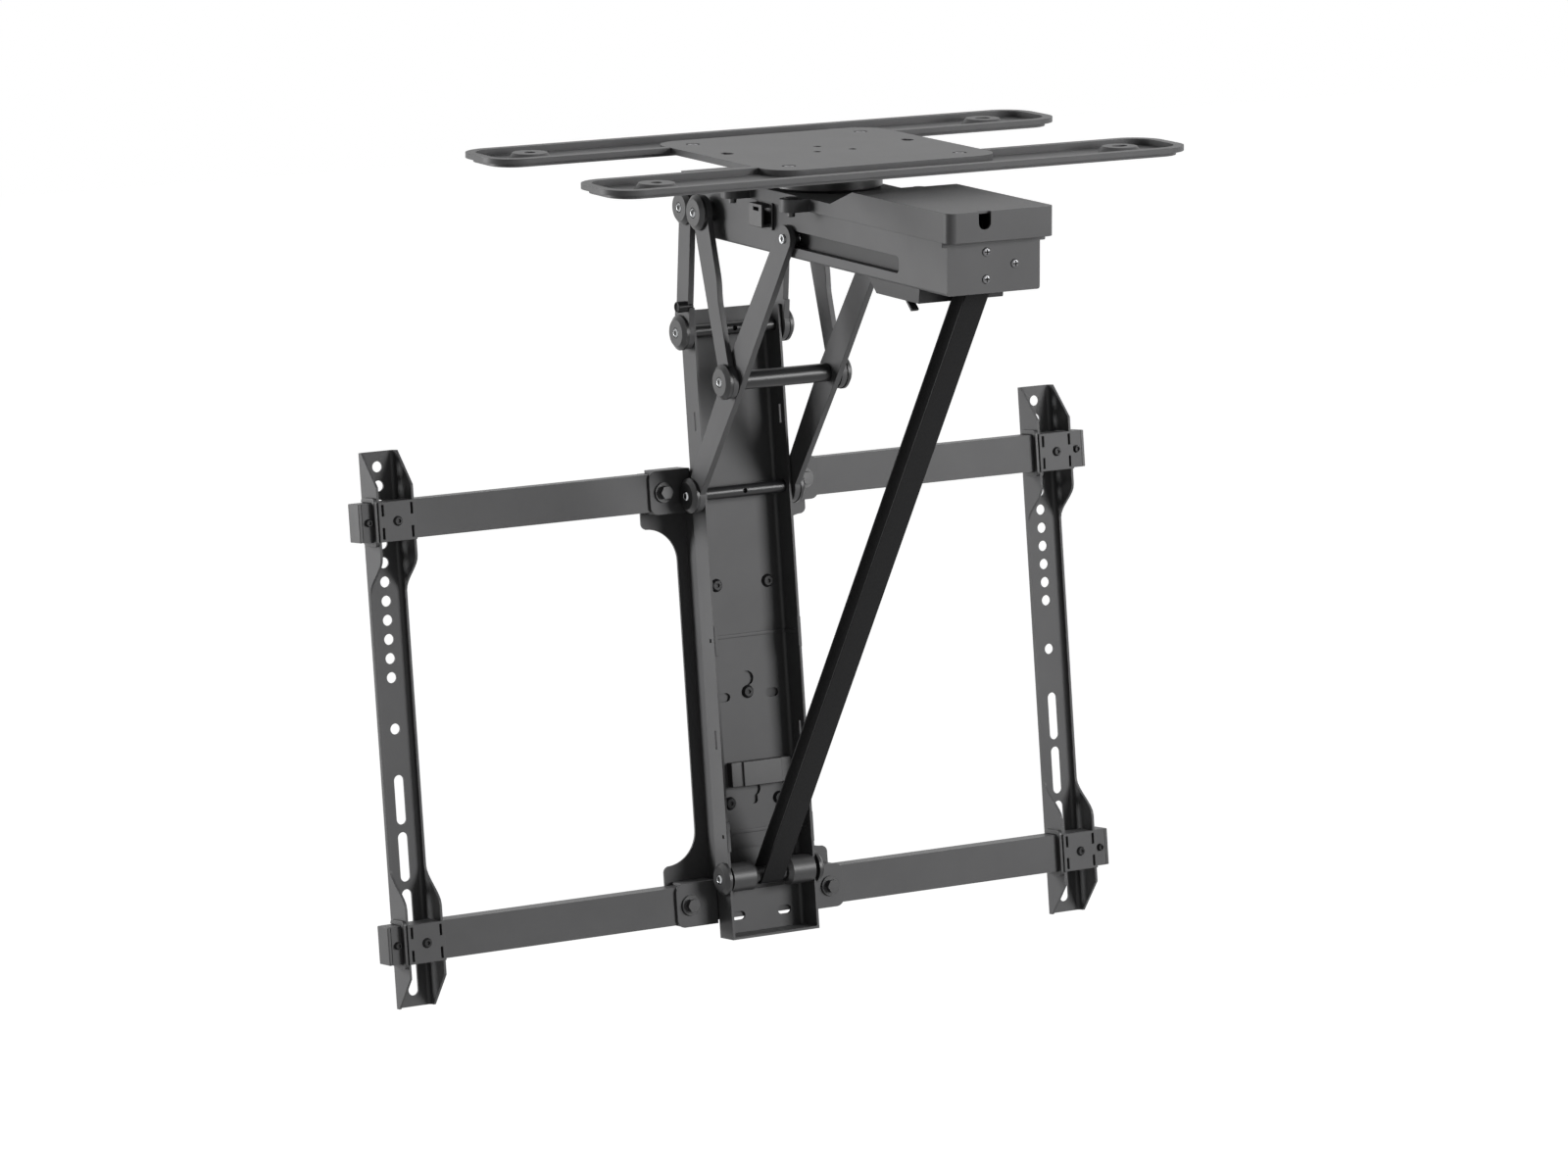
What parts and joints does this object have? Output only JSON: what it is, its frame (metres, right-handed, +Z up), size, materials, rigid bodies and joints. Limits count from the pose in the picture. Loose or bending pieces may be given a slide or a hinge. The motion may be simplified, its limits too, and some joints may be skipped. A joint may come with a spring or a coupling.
{
  "type": "motorised television ceiling mount",
  "caption": "Motorised ceiling mount on two rails: a winch beam folds a television frame up on links, with a belt and sliding brackets.",
  "frame": {"origin": "centre of the ceiling plate, on the ceiling", "axes": "+X along the ceiling rails, +Y towards the television, +Z up"},
  "size_m": [0.661, 0.4414, 0.6695],
  "materials": {
    "powder_coat": "satin black powder coat",
    "zinc_steel": "bright zinc",
    "grey_bolts": "dark zinc",
    "black_screws": "black oxide",
    "black_plastic": "matte black",
    "cap_steel": "satin black",
    "belt_rubber": "matte black",
    "motor_case": "plain steel",
    "gearbox_case": "cast"
  },
  "bodies": {
    "ceiling": {"ceiling_plate": "powder_coat", "rail_front": "powder_coat", "rail_rear": "powder_coat", "plate_screws": "zinc_steel", "swivel_post": "powder_coat"},
    "beam": {"swivel_plate": "powder_coat", "swivel_bolts": "grey_bolts", "beam_lid": "powder_coat", "beam_channel": "powder_coat", "front_screws": "zinc_steel", "side_clip": "black_plastic", "control_box": "powder_coat", "gear_motor": "motor_case", "worm_gearbox": "gearbox_case", "winch_frame": "powder_coat", "belt_inner_run": "belt_rubber", "link_studs": "cap_steel", "roller_tracks": "powder_coat"},
    "winch": {"winch_drum": "powder_coat"},
    "lever": {"limit_lever": "zinc_steel"},
    "slider": {"roller_axles": "zinc_steel", "slot_rollers": "black_plastic"},
    "front_links": {"front_link_left": "powder_coat", "front_link_right": "powder_coat"},
    "lift_arms": {"lift_arm_left": "powder_coat", "lift_arm_right": "powder_coat", "arm_cross_tube": "powder_coat", "arm_shaft": "zinc_steel", "arm_caps": "cap_steel", "arm_tip_bolts": "zinc_steel"},
    "rear_links": {"rear_link_left": "powder_coat", "rear_link_right": "powder_coat", "rear_link_caps": "cap_steel", "stop_bolt": "black_screws"},
    "column": {"column_channel": "powder_coat", "column_strips": "powder_coat", "column_clip": "black_plastic", "column_screws": "black_screws", "spine": "powder_coat", "top_shaft": "powder_coat", "middle_shaft": "powder_coat", "column_caps": "cap_steel", "pulley_shaft": "powder_coat", "shaft_spacers": "black_plastic", "belt_sleeve": "black_plastic", "crossbar_upper": "powder_coat", "crossbar_lower": "powder_coat", "clamp_plates": "powder_coat", "clamp_bolts": "grey_bolts", "bar_end_caps": "black_plastic", "bar_stop_screws": "black_screws"},
    "belt": {"lift_belt": "belt_rubber"},
    "bracket_left_set": {"bracket_left": "powder_coat", "saddles_left": "powder_coat", "inserts_left": "black_plastic", "bracket_screws_left": "black_screws"},
    "bracket_right_set": {"bracket_right": "powder_coat", "saddles_right": "powder_coat", "inserts_right": "black_plastic", "bracket_screws_right": "black_screws"}
  },
  "joints": [
    {"name": "swivel", "type": "hinge", "parent": "ceiling", "child": "beam", "pos_m": [0, 0, -0.0316], "axis": [0, 0, 1], "range_deg": [-45, 45]},
    {"name": "fold", "type": "hinge", "parent": "beam", "child": "front_links", "pos_m": [0, 0.1093, -0.059], "axis": [-1, 0, 0], "range_deg": [0, 58.23]},
    {"name": "arm_pivot", "type": "hinge", "parent": "front_links", "child": "lift_arms", "pos_m": [0, 0.06838, -0.18723], "axis": [1, 0, 0], "range_deg": [0, 103.82]},
    {"name": "column_pivot", "type": "hinge", "parent": "lift_arms", "child": "column", "pos_m": [0, 0.13361, -0.28807], "axis": [-1, 0, 0], "range_deg": [0, 128.69]},
    {"name": "rear_link_pivot", "type": "hinge", "parent": "beam", "child": "rear_links", "pos_m": [0, 0.1422, -0.059], "axis": [1, 0, 0], "range_deg": [0, 51.89]},
    {"name": "roller_travel", "type": "slide", "parent": "beam", "child": "slider", "axis": [0, -1, 0], "range_m": [0, 0.15215]},
    {"name": "belt_swing", "type": "hinge", "parent": "beam", "child": "belt", "pos_m": [0, -0.21914, -0.0794], "axis": [-1, 0, 0], "range_deg": [0, 16.32], "deforming": ["lift_belt"]},
    {"name": "drum_spin", "type": "hinge", "parent": "beam", "child": "winch", "pos_m": [0, -0.19, -0.048], "axis": [-1, 0, 0], "range_deg": [0, 3604.4]},
    {"name": "limit_switch_lever", "type": "hinge", "parent": "beam", "child": "lever", "pos_m": [-0.03, -0.173, -0.0892], "axis": [1, 0, 0], "range_deg": [-12, 3]},
    {"name": "bracket_slide_left", "type": "slide", "parent": "column", "child": "bracket_left_set", "axis": [1, 0, 0], "range_m": [0, 0.2]},
    {"name": "bracket_slide_right", "type": "slide", "parent": "column", "child": "bracket_right_set", "axis": [-1, 0, 0], "range_m": [0, 0.2]}
  ],
  "couplings": [
    {"joint": "arm_pivot", "follows": "fold", "ratio": 1.783},
    {"joint": "column_pivot", "follows": "fold", "ratio": 2.21},
    {"joint": "rear_link_pivot", "follows": "fold", "ratio": 0.89113},
    {"joint": "roller_travel", "follows": "fold", "m_per_rad": 0.14971},
    {"joint": "belt_swing", "follows": "fold", "ratio": 0.28028},
    {"joint": "drum_spin", "follows": "fold", "ratio": 61.899}
  ]
}
